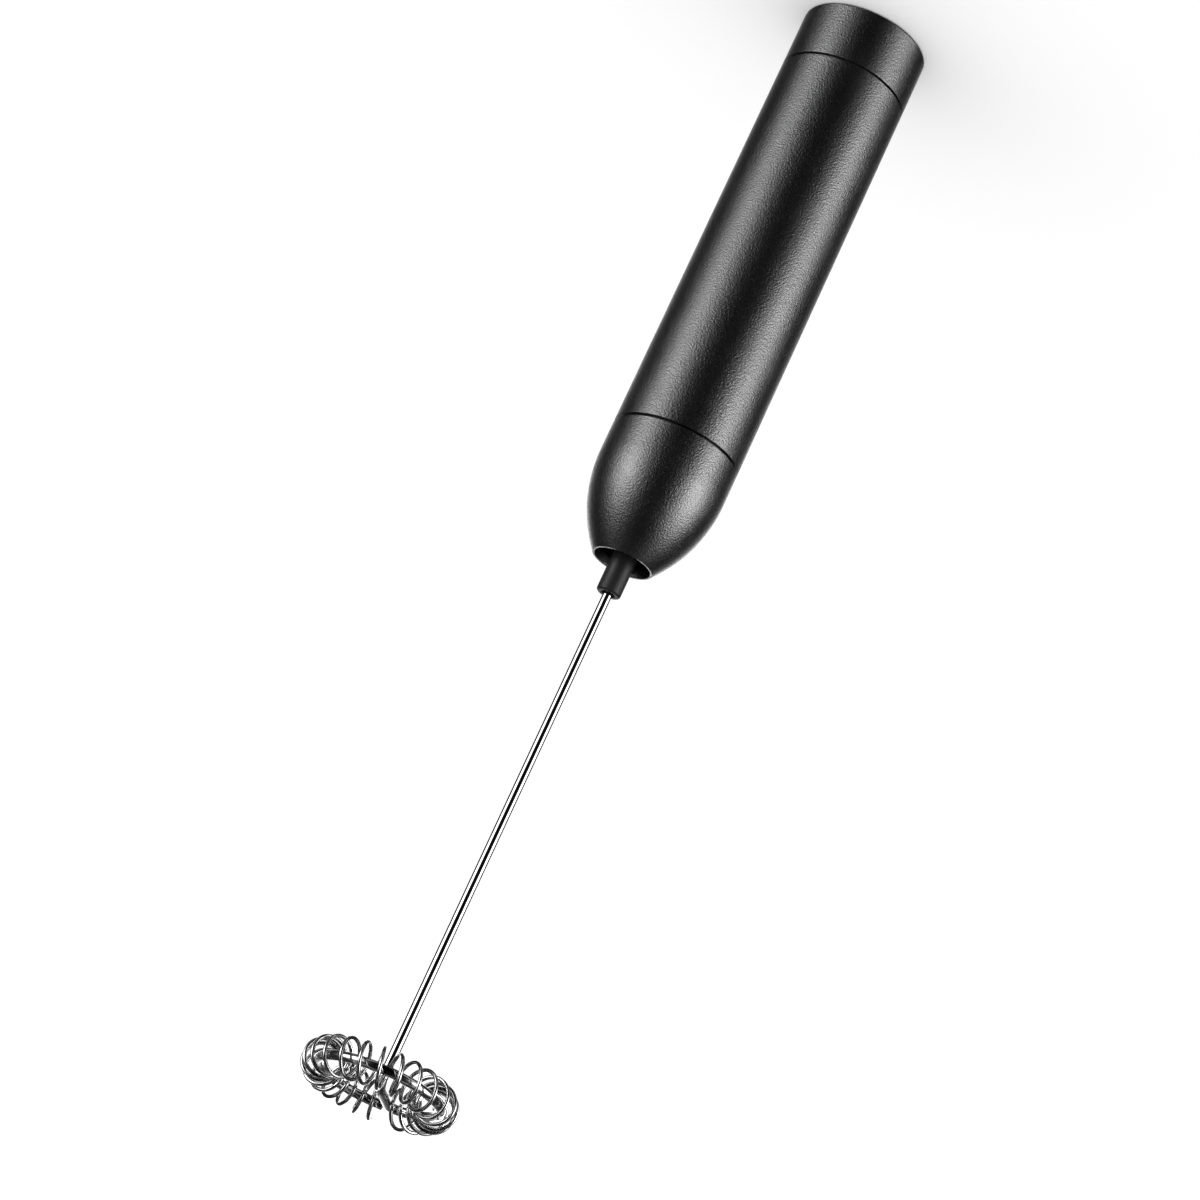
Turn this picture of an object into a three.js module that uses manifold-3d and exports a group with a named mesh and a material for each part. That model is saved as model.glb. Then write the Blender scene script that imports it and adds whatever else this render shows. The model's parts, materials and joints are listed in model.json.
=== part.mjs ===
// Handheld battery milk frother: a slim round handle with a screw-off end cap and push button, a motor in
// the nose, and a bent steel rod that carries a coil whisk. It stands on the flat face of its end cap.
// Millimetres, +Z from the end cap to the whisk, origin at the centre of the face that it stands on.
import * as THREE from "three";
import { mergeVertices } from "three/addons/utils/BufferGeometryUtils.js";
import Module from "manifold-3d";

const wasm = await Module();
wasm.setup();

// ---- Clearances ----
const fit = 0.1; // between pieces that are pressed or glued together
const slip = 0.3; // between the battery tray and the collar that it slides through
const play = 0.2; // between moving pieces and their guides
const bearingPlay = 0.05; // around the motor shaft
const touch = 0.1; // between faces that rest on each other

// ---- Round sizes, from the inside out ----
const cellRadius = 5.25;
const cellSpacing = 0.2; // gap between the two cells
const trayLip = 0.4;
const collarWall = 1.1;
const collarRootWall = 0.6;
const threadClearance = 0.15;
const motorRadius = 10;
const motorFlat = 7.7; // half the width across the can's two flats
const holderWall = 1;
const housingWall = 1.4;
const flangeLip = 1.4; // how far the button's flange stands out past its face
const stemRadius = 3;
const tipRadius = 1.8; // the stem's thin end, which carries the disc and its clip
const tailEnd = 0.2; // how far that end stands past its clip
const spigotWall = 1.2;
const barrelWall = 1;
const shellChamfer = 0.3;
const sealWall = 0.5;
const rivetRadius = 2.3;
const rivetShank = 1;
const ridgeRoot = 0.3; // how deep a thread ridge is buried in its wall

// ---- Lengths along the axis ----
const buttonRecess = 0.5;
const endWall = 2;
const collarStandOff = 1; // from the cap's inner floor to the collar
const flangeThickness = 1.2;
const buttonSpringLength = 4;
const housingRoof = 1.5;
const discThickness = 0.5;
const clipThickness = 0.4;
const buttonTravel = 1.2;
const padThickness = 0.4;
const trayPlate = 1.6;
const cellLength = 44.5;
const cellSpringLength = 4.3;
const boardSpringLength = 5;
const boardThickness = 1.4;
const wireBay = 7.15;
const endBellLength = 4;
const canLength = 21;
const seamGap = 0.3;
const capSkirt = 2.7; // how far the cap's rim reaches past the pressed contact disc
const motorPastSeam = 3.6; // how far the motor's front face stands past the barrel's end
const noseStraight = 6.5;
const noseArc = 31.6;
const mouthRadius = 5.95;
const mouthLip = 0.5;
const noseWall = 1.6;
const spigotLength = 6;
const collarGrip = 8; // how far the collar reaches into the barrel
const sealHeight = 1;
const holderFront = 1.5;
const holderSkirt = 16;
const noseSeatStep = 1.2;

// ---- Screw thread of the end cap ----
const threadPitch = 2.5;
const threadTurns = 1.5;
const ridgeHalfWidth = 0.42;
const ridgeLead = 1.1; // from the collar's end to the start of its ridge

// ---- Contacts and leads ----
const contactWire = 0.3; // radius
const contactWide = 3.6; // radius of a cell spring's wide end
const contactNarrow = 1.6;
const boardContactWide = 3;
const terminalOffset = 5.5;
const terminalReach = 3.4; // how far the terminals stand out of the motor's rear face
const leadRadius = 0.6;

// ---- Motor ----
const canWall = 0.8;
const bossRadius = 3;
const bossHeight = 1.4;
const bushRadius = 2;
const bushLength = 1.8;
const rearBushStart = 0.7; // from the motor's rear face
const shaftTail = 1; // how far the shaft stands out of the rear face
const commutatorRadius = 2.3;
const commutatorLength = 3.2;
const commutatorIntoBell = 1.2; // how far the commutator reaches into the end bell
const coreStart = 4.5; // from the can's open end
const coreLength = 10;
const coreRadius = 6.3;
const coreHub = 2.1;
const poleHalfWidth = 1.3;
const shoeThickness = 1.1;
const shoeHalfAngle = 48;
const windingInner = 3.1;
const windingSide = 1.2;
const airGap = 0.4;
const magnetInset = 2; // from each end of the can
const magnetHalfAngle = 38;
const screwOffset = 6;
const screwRadius = 1;
const screwHead = 1.9;
const screwBite = 2; // how deep a screw goes into the motor
const slotDepth = 2.2; // of the terminals' slots in the end bell
const headHeight = 1.3;

// ---- Drive and whisk ----
const shaftRadius = 1;
const shaftReach = 10.5; // motor shaft past the motor's front face
const sleeveRadius = 2.55;
const sleeveLength = 27.6;
const sleeveBevel = 0.5;
const sleeveStandOff = 2.6; // from the motor's front face to the sleeve
const rodRadius = 1;
const rodSocket = 17.5; // how deep the whisk's rod goes into the sleeve
const rodReach = 107.5; // from the sleeve's tip to the ring's centre
const rodBend = 2.6; // bend radius from the rod to the spoke, on the wire's centreline
const ringBend = 2; // bend radius from the spoke to the ring
const ringRadius = 12.45;
const ringTilt = 4.1; // degrees that the ring leans
const tiltAxis = -14; // degrees round from +X to the line that it leans about
const ringGap = 6; // degrees between the ring's free end and the spoke
const spokeAngle = 106; // degrees round from +X
const coilRadius = 3.8;
const coilWire = 0.4; // radius
const coilInset = 0.75; // from the ring's centreline in to the middle of the coil
const coilDrop = 0.2; // and down towards the handle
const coilStep = 15.09; // degrees along the ring for each turn of the coil
const coilTurns = 22.5;
const coilSpokeRoom = 0.14; // gap between the spoke and the coil's first inner pass
const coilPhase = 238; // degrees round its own section at which the coil starts

// ---- Mesh fineness and cutting ----
const through = 1; // how far a cutting tool reaches past what it cuts
const shellSides = 40;
const smallSides = 16;
const wireSides = 5;
const springSides = 4;
const rodSides = 8;
const platedSides = 32;

// ---- Worked-out radii ----
const cellOffset = cellRadius + cellSpacing / 2;
const trayRadius = cellOffset + cellRadius + trayLip;
const collarInner = trayRadius + slip;
const barrelBore = Math.max(
  collarInner + collarWall + fit,
  motorRadius + fit + holderWall + fit + spigotWall + fit,
);
const handleRadius = barrelBore + barrelWall;
const spigotOuter = barrelBore - fit;
const noseBore = spigotOuter - spigotWall;
const collarOuter = barrelBore - fit;
const collarRoot = collarInner + collarRootWall;
const maleCrest = barrelBore - threadClearance;
const femaleCrest = collarRoot + threadClearance;
const housingRadius = collarInner - slip;
const flangeRadius = housingRadius - housingWall - play;
const buttonRadius = flangeRadius - flangeLip;
const rebateRadius = maleCrest + touch + sealWall + fit;
const rodSocketRadius = rodRadius + fit;

// ---- Worked-out heights ----
const flangeZ = endWall + touch;
const springZ = flangeZ + flangeThickness + touch;
const roofZ = springZ + buttonSpringLength + touch;
const shoulderZ = roofZ + housingRoof + play;
const discZ = shoulderZ + touch;
const clipZ = discZ + discThickness + touch;
const padZ = discZ + discThickness + buttonTravel + touch;
const trayZ = padZ + padThickness + touch;
const cellFloorZ = trayZ + trayPlate + touch + padThickness;
const cellTopZ = cellFloorZ + touch + cellSpringLength + touch + cellLength + touch;
const trayTopZ = cellTopZ + padThickness + touch;
const boardSpringZ = trayTopZ + trayPlate + touch + padThickness + touch;
const boardZ = boardSpringZ + boardSpringLength + touch;
const boardTopZ = boardZ + boardThickness;
const motorZ = boardTopZ + wireBay;
const canZ = motorZ + endBellLength;
const motorFrontZ = canZ + canLength;
const capRimZ = discZ + discThickness + capSkirt;
const barrelZ = capRimZ + seamGap;
const barrelTopZ = motorFrontZ - motorPastSeam;
const noseZ = barrelTopZ + seamGap;
const arcZ = noseZ + noseStraight;
const arcCentre = handleRadius - noseArc;
const arcRise = (radius, r) => Math.sqrt(radius ** 2 - (r - arcCentre) ** 2);
const mouthZ = arcZ + arcRise(noseArc, mouthRadius + mouthLip);
const sleeveZ = motorFrontZ + sleeveStandOff;
const sleeveTipZ = sleeveZ + sleeveLength;
const ringZ = sleeveTipZ + rodReach;
const rodTailZ = sleeveTipZ - rodSocket;
const collarZ = endWall + collarStandOff;
const maleRidgeZ = collarZ + ridgeLead;
const femaleRidgeZ = maleRidgeZ + threadPitch / 2;
const sealTopZ = barrelZ - touch;
const rebateZ = sealTopZ - sealHeight - touch;
const terminalZ = motorZ - terminalReach;
const commutatorZ = canZ - commutatorIntoBell;
const coreZ = canZ + coreStart;
const holderFrontZ = motorFrontZ + touch;
const screwHeadZ = holderFrontZ + holderFront + touch;

// ---- Materials ----
const finish = (color, roughness, metalness) =>
  new THREE.MeshStandardMaterial({ color, roughness, metalness });
const anodised = finish(0x1c1c1e, 0.42, 0.9);
const blackPlastic = finish(0x17171a, 0.5, 0);
const greyPlastic = finish(0x6c7075, 0.55, 0);
const whitePlastic = finish(0xe4e2dc, 0.5, 0);
const rubber = finish(0x0c0c0c, 0.8, 0);
const stainless = finish(0xd8dadc, 0.14, 1);
const canSteel = finish(0xb4b6b8, 0.35, 1);
const ferrite = finish(0x2c2b2b, 0.8, 0.1);
const coreSteel = finish(0x77787a, 0.5, 0.9);
const copper = finish(0xb5652f, 0.35, 1);
const brass = finish(0xc9a24e, 0.3, 1);
const cellJacket = finish(0x2d5f3a, 0.35, 0.4);
const boardGreen = finish(0x1f5a34, 0.5, 0);
const redLead = finish(0xb3201c, 0.5, 0);
const blackLead = finish(0x141414, 0.5, 0);

const frother = new THREE.Group();

function place(name, geometry, material, x = 0, y = 0) {
  const mesh = new THREE.Mesh(geometry, material);
  mesh.name = name;
  mesh.position.set(x, y, 0);
  frother.add(mesh);
}

// A closed outline of [radius, height] corners, listed with the solid on its left, turned about Z.
function turned(corners, faces = shellSides) {
  const onAxis = corners[0][0] === 0;
  const outline = (onAxis ? corners : [...corners, corners[0]]).map(([r, z]) => new THREE.Vector2(r, z));
  return new THREE.LatheGeometry(outline, faces).rotateX(Math.PI / 2);
}

const rod = (r, z0, z1, faces = smallSides) => turned([[0, z0], [r, z0], [r, z1], [0, z1]], faces);
const tube = (inner, outer, z0, z1, faces = shellSides) =>
  turned([[outer, z0], [outer, z1], [inner, z1], [inner, z0]], faces);

function boxAt(x0, x1, y0, y1, z0, z1) {
  const box = new THREE.BoxGeometry(x1 - x0, y1 - y0, z1 - z0);
  return box.translate((x0 + x1) / 2, (y0 + y1) / 2, (z0 + z1) / 2);
}

// A curve through a list of points, one step of a sweep for each stretch between them.
class Stations extends THREE.Curve {
  constructor(points) {
    super();
    this.points = points;
  }
  getPoint(t) {
    const along = t * (this.points.length - 1);
    const i = THREE.MathUtils.clamp(Math.floor(along), 0, this.points.length - 2);
    return this.points[i].clone().lerp(this.points[i + 1], along - i);
  }
  getPointAt(t) {
    return this.getPoint(t);
  }
  getTangentAt(t) {
    return this.getTangent(t);
  }
}

const sides = [1, -1];
const vec = (x, y, z) => new THREE.Vector3(x, y, z);
const degrees = (angle) => (angle * Math.PI) / 180;

// A round wire of the given radius along a list of points, closed at both ends.
function wire(points, radius, faces) {
  const section = new THREE.Shape();
  for (let i = 0; i < faces; i++) {
    const a = (2 * Math.PI * i) / faces;
    section[i ? "lineTo" : "moveTo"](radius * Math.cos(a), radius * Math.sin(a));
  }
  section.closePath();
  const extrudePath = new Stations(points);
  const options = { steps: points.length - 1, extrudePath, bevelEnabled: false };
  return new THREE.ExtrudeGeometry(section, options);
}

// A helix about an upright axis, from one radius to another, that fills the height from z0 to z1.
function spring(radiusLow, radiusHigh, thickness, z0, z1, turns) {
  const perTurn = 8;
  const points = [];
  for (let i = 0; i <= turns * perTurn; i++) {
    const part = i / (turns * perTurn);
    const a = (2 * Math.PI * i) / perTurn;
    const r = radiusLow + (radiusHigh - radiusLow) * part;
    const z = z0 + thickness + (z1 - z0 - 2 * thickness) * part;
    points.push(vec(r * Math.cos(a), r * Math.sin(a), z));
  }
  return wire(points, thickness, springSides);
}

// The points of a round bend where a straight run turns from one direction to another at a corner.
function bend(corner, from, to, radius, steps) {
  const angle = from.angleTo(to);
  const inward = to.clone().addScaledVector(from, -from.dot(to)).normalize();
  const start = corner.clone().addScaledVector(from, -radius * Math.tan(angle / 2));
  const points = [];
  for (let i = 0; i <= steps; i++) {
    const a = (angle * i) / steps;
    const point = start.clone().addScaledVector(from, radius * Math.sin(a));
    points.push(point.addScaledVector(inward, radius * (1 - Math.cos(a))));
  }
  return points;
}

// ---- Joining and cutting ----
function solid(geometry) {
  const plain = new THREE.BufferGeometry();
  const source = geometry.index ? geometry.toNonIndexed() : geometry;
  plain.setAttribute("position", source.getAttribute("position"));
  const merged = mergeVertices(plain, 1e-4);
  return new wasm.Manifold(
    new wasm.Mesh({
      numProp: 3,
      vertProperties: merged.attributes.position.array,
      triVerts: new Uint32Array(merged.index.array),
    }),
  );
}

function geometryOf(made) {
  const mesh = made.getMesh();
  const geometry = new THREE.BufferGeometry();
  geometry.setAttribute("position", new THREE.BufferAttribute(mesh.vertProperties, 3));
  geometry.setIndex(new THREE.BufferAttribute(mesh.triVerts, 1));
  return geometry;
}

const cut = (base, ...tools) =>
  geometryOf(tools.reduce((made, tool) => made.subtract(solid(tool)), solid(base)));
const joined = (base, ...more) =>
  geometryOf(more.reduce((made, piece) => made.add(solid(piece)), solid(base)));
const common = (base, ...more) =>
  geometryOf(more.reduce((made, piece) => made.intersect(solid(piece)), solid(base)));

// ---- Screw-off end cap with its push button and switch ----

// One screw ridge, from a base buried in its wall to a crest, as a helix that rises anticlockwise.
function ridge(base, crest, z0) {
  const stationCount = Math.round(threadTurns * shellSides);
  const corners = [[base, -ridgeHalfWidth], [crest, -ridgeHalfWidth / 2], [crest, ridgeHalfWidth / 2],
    [base, ridgeHalfWidth]];
  const positions = [];
  for (let i = 0; i <= stationCount; i++) {
    const a = (2 * Math.PI * i) / shellSides;
    const z = z0 + (threadPitch * i) / shellSides;
    for (const [r, dz] of corners) positions.push(r * Math.cos(a), r * Math.sin(a), z + dz);
  }
  const faces = [0, 1, 2, 0, 2, 3];
  for (let i = 0; i < stationCount; i++) {
    for (let j = 0; j < 4; j++) {
      const [p, q] = [4 * i + j, 4 * i + ((j + 1) % 4)];
      faces.push(p, p + 4, q + 4, p, q + 4, q);
    }
  }
  const last = 4 * stationCount;
  faces.push(last, last + 2, last + 1, last, last + 3, last + 2);
  const geometry = new THREE.BufferGeometry();
  geometry.setAttribute("position", new THREE.Float32BufferAttribute(positions, 3));
  geometry.setIndex(crest > base ? faces : faces.reverse());
  return geometry;
}

function addEndCap() {
  const shell = turned([
    [buttonRadius + play, 0],
    [handleRadius - shellChamfer, 0],
    [handleRadius, shellChamfer],
    [handleRadius, capRimZ - shellChamfer],
    [handleRadius - shellChamfer, capRimZ],
    [rebateRadius, capRimZ],
    [rebateRadius, rebateZ],
    [barrelBore, rebateZ],
    [barrelBore, endWall],
    [buttonRadius + play, endWall],
  ]);
  place("end_cap", joined(shell, ridge(barrelBore + ridgeRoot, femaleCrest, femaleRidgeZ)), anodised);
}

function addButton() {
  const rim = 0.4;
  const dish = 0.25;
  const land = 1.4; // flat ring round the dish
  const dishSlope = 1.6;
  const button = turned([
    [0, buttonRecess + dish],
    [buttonRadius - land - dishSlope, buttonRecess + dish],
    [buttonRadius - land, buttonRecess],
    [buttonRadius - rim, buttonRecess],
    [buttonRadius, buttonRecess + rim],
    [buttonRadius, flangeZ],
    [flangeRadius, flangeZ],
    [flangeRadius, flangeZ + flangeThickness],
    [stemRadius, flangeZ + flangeThickness],
    [stemRadius, shoulderZ],
    [tipRadius, shoulderZ],
    [tipRadius, clipZ + clipThickness + tailEnd],
    [0, clipZ + clipThickness + tailEnd],
  ], platedSides);
  place("button", button, blackPlastic);
}

function addButtonSpring() {
  const thickness = 0.3;
  const taper = 0.8;
  const turns = 5;
  const inner = stemRadius + play + thickness;
  const coil = spring(inner + taper, inner, thickness, springZ, springZ + buttonSpringLength, turns);
  place("button_spring", coil, stainless);
}

// The housing that the button slides in, and the brass disc that joins the two cells when it is pressed.
function addSwitch() {
  const housing = turned([
    [flangeRadius + play, flangeZ],
    [housingRadius, flangeZ],
    [housingRadius, roofZ + housingRoof],
    [stemRadius + play, roofZ + housingRoof],
    [stemRadius + play, roofZ],
    [flangeRadius + play, roofZ],
  ]);
  place("switch_housing", housing, greyPlastic);
  const discRadius = cellOffset + rivetRadius + 0.6;
  const clipRadius = tipRadius + 0.9;
  const disc = tube(tipRadius + fit, discRadius, discZ, discZ + discThickness, platedSides);
  place("contact_disc", disc, brass);
  const clip = tube(tipRadius + fit, clipRadius, clipZ, clipZ + clipThickness, smallSides);
  place("stem_clip", clip, stainless);
}

// ---- Barrel ----
function addBarrel() {
  const c = shellChamfer;
  const barrel = turned([
    [barrelBore, barrelZ],
    [handleRadius - c, barrelZ],
    [handleRadius, barrelZ + c],
    [handleRadius, barrelTopZ - c],
    [handleRadius - c, barrelTopZ],
    [barrelBore, barrelTopZ],
  ]);
  place("barrel", barrel, anodised);
  const collar = turned([
    [collarInner, collarZ],
    [collarRoot, collarZ],
    [collarRoot, barrelZ + touch],
    [collarOuter, barrelZ + touch],
    [collarOuter, barrelZ + collarGrip],
    [collarInner, barrelZ + collarGrip],
  ]);
  place("threaded_collar", joined(collar, ridge(collarRoot - ridgeRoot, maleCrest, maleRidgeZ)), canSteel);
  const sealInner = maleCrest + touch;
  place("cap_seal", tube(sealInner, sealInner + sealWall, sealTopZ - sealHeight, sealTopZ), rubber);
}

// ---- Battery tray, cells and contacts ----
const holeAt = (x, radius, z0, z1) => rod(radius, z0 - through, z1 + through).translate(x, 0, 0);

// One end plate of the tray, with its two rivet holes and, at the button's end, room for the stem.
function trayPlateAt(z) {
  const top = z + trayPlate;
  const holes = sides.map((side) => holeAt(side * cellOffset, rivetShank + fit, z, top));
  if (z === trayZ) holes.push(holeAt(0, stemRadius + play, z, top));
  return cut(rod(trayRadius, z, top, shellSides), ...holes);
}

// One of the two posts between the end plates, hollowed to clear both cells.
function trayPost(side) {
  const halfWidth = 2.6;
  const inset = 4.6;
  const y = [side * inset, side * trayRadius].sort((a, b) => a - b);
  const block = boxAt(-halfWidth, halfWidth, ...y, trayZ + trayPlate / 2, trayTopZ + trayPlate / 2);
  const blank = common(block, rod(trayRadius, trayZ, trayTopZ + trayPlate, shellSides));
  const bays = sides.map((bay) => {
    const room = rod(cellRadius + slip, trayZ - through, trayTopZ + trayPlate + through, platedSides);
    return room.translate(bay * cellOffset, 0, 0);
  });
  return cut(blank, ...bays);
}

function addBatteryTray() {
  const tray = joined(trayPlateAt(trayZ), trayPlateAt(trayTopZ), trayPost(1), trayPost(-1));
  place("battery_tray", tray, blackPlastic);
}

// A rivet through one end plate of the tray: a flat head on each side of it.
function addRivet(name, x, plateZ) {
  const r = rivetRadius;
  const low = plateZ - touch;
  const high = plateZ + trayPlate + touch;
  const rivet = turned([
    [0, low - padThickness],
    [r, low - padThickness],
    [r, low],
    [rivetShank, low],
    [rivetShank, high],
    [r, high],
    [r, high + padThickness],
    [0, high + padThickness],
  ], smallSides);
  place(name, rivet, brass, x);
}

// A cell with its button end up, or turned over.
function addCell(name, x, z, buttonUp) {
  const nubRadius = 1.9;
  const nubHeight = 0.8;
  const rim = 0.5;
  const profile = [
    [0, 0],
    [cellRadius - rim, 0],
    [cellRadius, rim],
    [cellRadius, cellLength - nubHeight - rim],
    [cellRadius - rim, cellLength - nubHeight],
    [nubRadius, cellLength - nubHeight],
    [nubRadius, cellLength],
    [0, cellLength],
  ];
  const outline = buttonUp ? profile : profile.map(([r, h]) => [r, cellLength - h]).reverse();
  place(name, turned(outline.map(([r, h]) => [r, z + h]), platedSides), cellJacket, x);
}

// One conical contact spring over one of the two cells' axes.
function addContactSpring(name, side, radiusLow, radiusHigh, z, length) {
  const turns = 4;
  const coil = spring(radiusLow, radiusHigh, contactWire, z, z + length, turns);
  place(name, coil, stainless, side * cellOffset);
}

function addCells() {
  const firstZ = cellFloorZ + touch;
  const highSpringZ = firstZ + cellLength + touch;
  addCell("cell_1", cellOffset, firstZ + cellSpringLength + touch, true);
  addCell("cell_2", -cellOffset, firstZ, false);
  addContactSpring("cell_spring_1", 1, contactWide, contactNarrow, firstZ, cellSpringLength);
  addContactSpring("cell_spring_2", -1, contactNarrow, contactWide, highSpringZ, cellSpringLength);
  sides.forEach((side, i) => {
    const name = `board_spring_${i + 1}`;
    addRivet(`lower_contact_${i + 1}`, side * cellOffset, trayZ);
    addRivet(`upper_contact_${i + 1}`, side * cellOffset, trayTopZ);
    addContactSpring(name, side, contactNarrow, boardContactWide, boardSpringZ, boardSpringLength);
  });
}

// ---- Contact board and leads ----
function addBoard() {
  place("contact_board", rod(barrelBore - fit, boardZ, boardTopZ, shellSides), boardGreen);
}

// A short lead from the board up to the side of one motor terminal.
function addLead(name, side, material) {
  const footX = 2.2;
  const footY = 2.5;
  const headY = 1.2;
  const headRise = 0.6; // up beside the terminal
  const foot = vec(side * footX, footY, boardTopZ + touch);
  const head = vec(side * terminalOffset, headY, terminalZ + headRise);
  const points = [];
  const steps = 10;
  for (let i = 0; i <= steps; i++) {
    const t = i / steps;
    const ease = t * t * (3 - 2 * t);
    points.push(vec(foot.x + (head.x - foot.x) * ease, foot.y + (head.y - foot.y) * ease,
      foot.z + (head.z - foot.z) * t));
  }
  place(name, wire(points, leadRadius, rodSides), material);
}

// ---- Motor ----

// A round blank with the two flats of the motor's case.
function flatSided(r, flat, z0, z1) {
  const slab = boxAt(-r - through, r + through, -flat, flat, z0 - through, z1 + through);
  return common(rod(r, z0, z1, shellSides), slab);
}

function addMotorCan() {
  const innerFrontZ = motorFrontZ - canWall;
  const bossTopZ = motorFrontZ + bossHeight;
  const inside = flatSided(motorRadius - canWall, motorFlat - canWall, canZ - through, innerFrontZ);
  const boss = rod(bossRadius, motorFrontZ - canWall / 2, bossTopZ);
  const bushHole = rod(bushRadius + fit, innerFrontZ - through, bossTopZ - canWall / 2);
  const holes = sides.map((side) => holeAt(side * screwOffset, screwRadius + fit, innerFrontZ, motorFrontZ));
  holes.push(holeAt(0, shaftRadius + play, innerFrontZ, bossTopZ));
  const shell = joined(flatSided(motorRadius, motorFlat, canZ, motorFrontZ), boss);
  place("motor_can", cut(shell, inside, bushHole, ...holes), canSteel);
}

function addEndBell() {
  const wellWall = 1.6; // room round the commutator
  const wellFloorZ = commutatorZ - 0.4;
  const slotHalf = [1, 0.4];
  const well = rod(commutatorRadius + wellWall, wellFloorZ, canZ + through);
  const bushHole = rod(bushRadius + fit, motorZ + rearBushStart - touch, canZ + through);
  const tailHole = rod(shaftRadius + play, motorZ - through, canZ);
  const slots = sides.map((side) => {
    const x = side * terminalOffset;
    return boxAt(x - slotHalf[0], x + slotHalf[0], -slotHalf[1], slotHalf[1], motorZ - through,
      motorZ + slotDepth);
  });
  const bell = flatSided(motorRadius, motorFlat, motorZ, canZ - touch);
  place("motor_end_bell", cut(bell, well, bushHole, tailHole, ...slots), whitePlastic);
}

function addBush(name, z) {
  place(name, tube(shaftRadius + bearingPlay, bushRadius, z, z + bushLength, smallSides), brass);
}

// A curved ferrite magnet against the inside of the can, on the given side.
function addMagnet(name, side) {
  const outer = motorRadius - canWall - touch;
  const z0 = canZ + magnetInset;
  const z1 = motorFrontZ - canWall - magnetInset;
  const ring = tube(coreRadius + airGap, outer, z0, z1);
  const reach = outer * Math.sin(degrees(magnetHalfAngle));
  const x = [side, side * (outer + through)].sort((a, b) => a - b);
  place(name, common(ring, boxAt(...x, -reach, reach, z0 - through, z1 + through)), ferrite);
}

// One of the three poles: a neck with a curved shoe at its tip.
function rotorPole() {
  const shape = new THREE.Shape();
  const neckTip = coreRadius - shoeThickness;
  const neckAngle = Math.asin(poleHalfWidth / neckTip);
  const half = degrees(shoeHalfAngle);
  shape.moveTo(1, -poleHalfWidth);
  shape.lineTo(neckTip * Math.cos(neckAngle), -poleHalfWidth);
  shape.absarc(0, 0, neckTip, -neckAngle, -half, true);
  shape.absarc(0, 0, coreRadius, -half, half, false);
  shape.absarc(0, 0, neckTip, half, neckAngle, true);
  shape.lineTo(1, poleHalfWidth);
  const options = { depth: coreLength, bevelEnabled: false, curveSegments: 8 };
  return new THREE.ExtrudeGeometry(shape, options).translate(0, 0, coreZ);
}

function addRotor() {
  const angles = [0, 1, 2].map((i) => degrees(120 * i));
  const poles = angles.map((angle) => rotorPole().rotateZ(angle));
  const core = joined(rod(coreHub, coreZ, coreZ + coreLength), ...poles);
  place("rotor_core", cut(core, holeAt(0, shaftRadius + fit, coreZ, coreZ + coreLength)), coreSteel);
  angles.forEach((angle, i) => addWinding(`winding_${i + 1}`, angle));
}

// The copper ring that the brushes press on, cut into three segments part of the way along.
function addCommutator() {
  const top = commutatorZ + commutatorLength;
  const ring = tube(shaftRadius + fit, commutatorRadius, commutatorZ, top, smallSides);
  const halfSlot = 0.15;
  const web = 0.5; // left under each slot
  const uncut = 0.8; // left in one piece at the rotor's end
  const x = [shaftRadius + fit + web, commutatorRadius + through];
  const slots = [60, 180, 300].map((angle) => {
    const slot = boxAt(...x, -halfSlot, halfSlot, commutatorZ - through, top - uncut);
    return slot.rotateZ(degrees(angle));
  });
  place("commutator", cut(ring, ...slots), copper);
}

// The wire wound round one pole's neck, as one block with the neck's hole through it.
function addWinding(name, angle) {
  const half = poleHalfWidth + windingSide;
  const shoeGap = 0.3;
  const outer = (coreRadius - shoeThickness) * Math.cos(Math.asin(half / coreRadius)) - shoeGap;
  const top = coreZ + coreLength;
  const block = boxAt(windingInner, outer, -half, half, coreZ - windingSide, top + windingSide);
  const neck = poleHalfWidth + fit;
  const wound = cut(block, boxAt(0, coreRadius, -neck, neck, coreZ - fit, top + fit));
  wound.rotateZ(angle);
  place(name, wound, copper);
}

// A copper leaf on the end bell that presses on the commutator, and the terminal tab behind it.
function addBrush(side, number) {
  const near = commutatorRadius + play;
  const leaf = 0.3;
  const bladeHalf = 1.2;
  const bladeLength = 1.5;
  const footHalf = 0.6;
  const tabHalf = [0.9, 0.3];
  const x = side * terminalOffset;
  const blade = boxAt(near, near + leaf, -bladeHalf, bladeHalf, canZ, canZ + bladeLength);
  const foot = boxAt(near, terminalOffset + tabHalf[0], -footHalf, footHalf, canZ, canZ + leaf);
  const brush = joined(blade, foot);
  if (side < 0) brush.rotateZ(Math.PI);
  place(`brush_${number}`, brush, copper);
  const tabTop = motorZ + slotDepth - touch;
  const tab = boxAt(x - tabHalf[0], x + tabHalf[0], -tabHalf[1], tabHalf[1], terminalZ, tabTop);
  place(`terminal_${number}`, tab, brass);
}

function addMotor() {
  addMotorCan();
  addEndBell();
  addBush("rear_bush", motorZ + rearBushStart);
  addBush("front_bush", motorFrontZ + bossHeight - canWall / 2 - touch - bushLength);
  addMagnet("magnet_1", 1);
  addMagnet("magnet_2", -1);
  addRotor();
  addCommutator();
  addBrush(1, 1);
  addBrush(-1, 2);
  place("motor_shaft", rod(shaftRadius, motorZ - shaftTail, motorFrontZ + shaftReach), stainless);
}

// ---- Motor holder, screws and nose ----
function addMotorHolder() {
  const outer = noseBore - fit;
  const top = holderFrontZ + holderFront;
  const skirt = tube(motorRadius + fit, outer, holderFrontZ - holderSkirt, top);
  const disc = rod(outer - holderWall / 2, holderFrontZ, top, shellSides);
  const holes = sides.map((side) => holeAt(side * screwOffset, screwRadius + fit, holderFrontZ, top));
  holes.push(holeAt(0, bossRadius + play, holderFrontZ, top));
  place("motor_holder", cut(joined(skirt, disc), ...holes), blackPlastic);
}

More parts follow.
